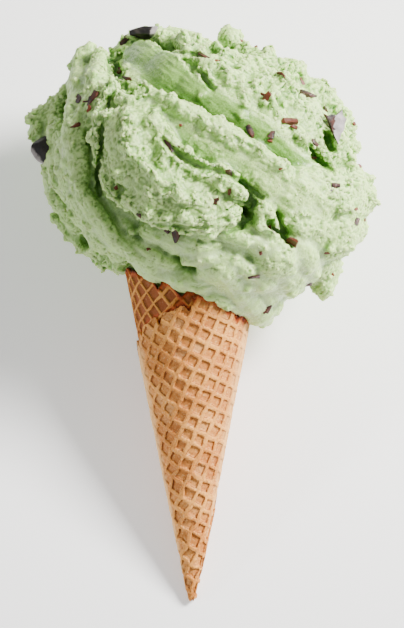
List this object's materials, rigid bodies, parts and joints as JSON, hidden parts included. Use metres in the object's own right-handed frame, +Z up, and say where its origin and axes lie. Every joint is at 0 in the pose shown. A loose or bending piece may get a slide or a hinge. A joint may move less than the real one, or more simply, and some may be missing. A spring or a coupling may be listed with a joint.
{
  "type": "ice cream cone",
  "caption": "Rolled waffle cone heaped with pale green ice cream and chocolate pieces, lying on its side.",
  "frame": {"origin": "on the floor, in the middle of the small flat spot that the heap of ice cream rests on", "axes": "the cone lies on its side; +Y runs from the wafer's tip towards the heap, +Z is up, and the side that shows faces up"},
  "size_m": [0.1293, 0.2048, 0.0973],
  "materials": {
    "baked_wafer": "matte baked wafer",
    "green_ice_cream": "soft, slightly wet",
    "dark_chocolate": "satin, frosted"
  },
  "bodies": {
    "root": {"wafer_cone": "baked_wafer", "ice_cream": "green_ice_cream", "chocolate_chunk_left": "dark_chocolate", "chocolate_chunk_top": "dark_chocolate", "chocolate_chunk_right": "dark_chocolate"}
  },
  "joints": []
}
